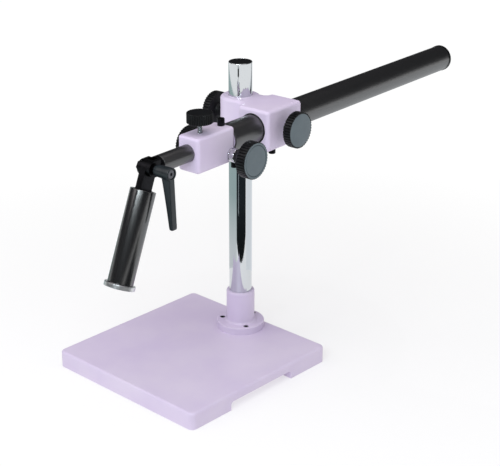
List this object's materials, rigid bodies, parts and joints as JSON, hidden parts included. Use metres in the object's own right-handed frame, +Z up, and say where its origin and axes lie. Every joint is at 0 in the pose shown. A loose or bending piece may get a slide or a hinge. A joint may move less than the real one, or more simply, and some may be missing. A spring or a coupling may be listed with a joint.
{
  "type": "microscope boom stand",
  "caption": "Single-arm boom stand for a stereo microscope: heavy base, chromed column, sliding boom with rack-driven extension and a tilting instrument post.",
  "frame": {"origin": "on the column's axis, at the base's underside, which the foot pads hold just off the bench", "axes": "+Z up along the column; the operator sits at -Y, so the working side of the base runs forward along -Y; +X is the side the boom hangs on, to the operator's right"},
  "size_m": [0.26, 0.7365, 0.414],
  "materials": {
    "cast_base": "pale lilac powder coat on cast iron",
    "cast_arm": "pale lilac powder coat on cast aluminium",
    "chrome_tube": "hard chrome plate, polished",
    "black_anodised": "satin black anodised",
    "bright_aluminium": "turned and lacquered",
    "black_plastic": "moulded, fine texture",
    "grey_insert": "moulded, satin",
    "black_oxide": "black oxide",
    "zinc_steel": "bright zinc plate",
    "chrome_small": "nickel chrome plate",
    "brass_parts": "machined",
    "nylon_black": "moulded nylon",
    "rubber_feet": "moulded"
  },
  "bodies": {
    "base": {"base_plate": "cast_base", "foot_pads": "rubber_feet", "column_flange": "cast_arm", "flange_screws": "black_oxide", "column_tube": "chrome_tube", "column_cap": "black_plastic"},
    "column_bush": {"column_bush": "nylon_black"},
    "arm_block": {"clamp_block": "cast_arm", "boom_friction_screw": "black_oxide"},
    "column_pad": {"column_pad": "brass_parts"},
    "column_clamp": {"column_knob": "black_plastic", "column_stud": "zinc_steel"},
    "boom_pad": {"boom_pad": "brass_parts"},
    "boom_clamp": {"boom_knob": "black_plastic", "boom_stud": "zinc_steel"},
    "boom_bush": {"boom_bush": "nylon_black"},
    "boom": {"boom_tube": "black_anodised", "boom_end_cap": "black_plastic", "front_block": "cast_arm", "pinion_bush_right": "chrome_small", "pinion_bush_left": "chrome_small", "collar_screws": "black_oxide", "mesh_screw": "black_oxide", "mesh_pad": "brass_parts"},
    "lock_pad": {"lock_pad": "brass_parts"},
    "bar_lock": {"lock_knob": "black_plastic", "lock_stud": "zinc_steel"},
    "extension": {"extension_bar": "black_anodised", "rack": "brass_parts", "rack_screws": "black_oxide", "bar_guide_ring": "nylon_black", "hinge_fork": "black_anodised", "hinge_bolt": "black_oxide", "hinge_washer": "zinc_steel"},
    "pinion": {"pinion_shaft": "zinc_steel", "pinion_knob_right": "black_plastic", "pinion_knob_left": "black_plastic", "pinion_cap_right": "grey_insert", "pinion_cap_left": "grey_insert", "pinion_knob_screws": "black_oxide"},
    "post": {"post_yoke": "black_anodised", "post_tube": "black_anodised", "post_end_plug": "black_plastic"},
    "end_stop": {"end_stop_disc": "bright_aluminium", "end_stop_screw": "zinc_steel"},
    "lever_core": {"lever_insert": "zinc_steel", "lever_screw": "black_oxide", "lever_spring": "zinc_steel"},
    "lever": {"lever_handle": "black_plastic"}
  },
  "joints": [
    {"name": "column_slide", "type": "slide", "parent": "base", "child": "column_bush", "axis": [0, 0, 1], "range_m": [-0.18, 0.03]},
    {"name": "arm_swivel", "type": "hinge", "parent": "column_bush", "child": "arm_block", "pos_m": [0, 0, 0.3417], "axis": [0, 0, 1], "continuous": true},
    {"name": "column_clamp_feed", "type": "slide", "parent": "arm_block", "child": "column_pad", "axis": [-0.9978, -0.0656, 0], "range_m": [0, 0.002]},
    {"name": "column_clamp_turn", "type": "hinge", "parent": "column_pad", "child": "column_clamp", "pos_m": [-0.02994, -0.00197, 0.3407], "axis": [-0.9978, -0.0656, 0], "range_deg": [0, 730]},
    {"name": "boom_clamp_feed", "type": "slide", "parent": "arm_block", "child": "boom_pad", "axis": [0.9978, 0.0656, 0], "range_m": [0, 0.002]},
    {"name": "boom_clamp_turn", "type": "hinge", "parent": "boom_pad", "child": "boom_clamp", "pos_m": [0.0902, -0.00009, 0.3407], "axis": [0.9978, 0.0656, 0], "range_deg": [0, 730]},
    {"name": "boom_roll", "type": "hinge", "parent": "arm_block", "child": "boom_bush", "pos_m": [0.05438, 0.00357, 0.3417], "axis": [-0.0656, 0.9978, 0], "continuous": true},
    {"name": "boom_slide", "type": "slide", "parent": "boom_bush", "child": "boom", "axis": [0.0656, -0.9978, 0], "range_m": [-0.04, 0.36]},
    {"name": "bar_lock_feed", "type": "slide", "parent": "boom", "child": "lock_pad", "axis": [0, 0, 1], "range_m": [0, 0.002]},
    {"name": "bar_lock_turn", "type": "hinge", "parent": "lock_pad", "child": "bar_lock", "pos_m": [0.06392, -0.14151, 0.3717], "axis": [0, 0, 1], "range_deg": [0, 730]},
    {"name": "extension_slide", "type": "slide", "parent": "boom", "child": "extension", "axis": [0.0656, -0.9978, 0], "range_m": [-0.04, 0.08]},
    {"name": "pinion_turn", "type": "hinge", "parent": "boom", "child": "pinion", "pos_m": [0.06127, -0.1012, 0.3267], "axis": [0.9978, 0.0656, 0], "range_deg": [-450, 890]},
    {"name": "post_tilt", "type": "hinge", "parent": "extension", "child": "post", "pos_m": [0.07004, -0.23471, 0.3417], "axis": [0.9978, 0.0656, 0], "range_deg": [-67.3, 25]},
    {"name": "end_stop_removal", "type": "slide", "parent": "post", "child": "end_stop", "axis": [0.0253, -0.3851, -0.9225], "range_m": [0, 0.09]},
    {"name": "lever_clamp", "type": "hinge", "parent": "extension", "child": "lever_core", "pos_m": [0.07004, -0.23471, 0.3417], "axis": [0.9978, 0.0656, 0], "range_deg": [0, 90]},
    {"name": "lever_lift", "type": "slide", "parent": "lever_core", "child": "lever", "axis": [0.9978, 0.0656, 0], "range_m": [0, 0.0045], "stiffness_N_per_m": 1000, "springref_m": -0.001, "deforming": ["lever_spring"]}
  ],
  "couplings": [
    {"joint": "column_clamp_turn", "follows": "column_clamp_feed", "rad_per_m": 6283.2},
    {"joint": "boom_clamp_turn", "follows": "boom_clamp_feed", "rad_per_m": 6283.2},
    {"joint": "bar_lock_turn", "follows": "bar_lock_feed", "rad_per_m": 6283.2},
    {"joint": "pinion_turn", "follows": "extension_slide", "rad_per_m": 192.31}
  ]
}
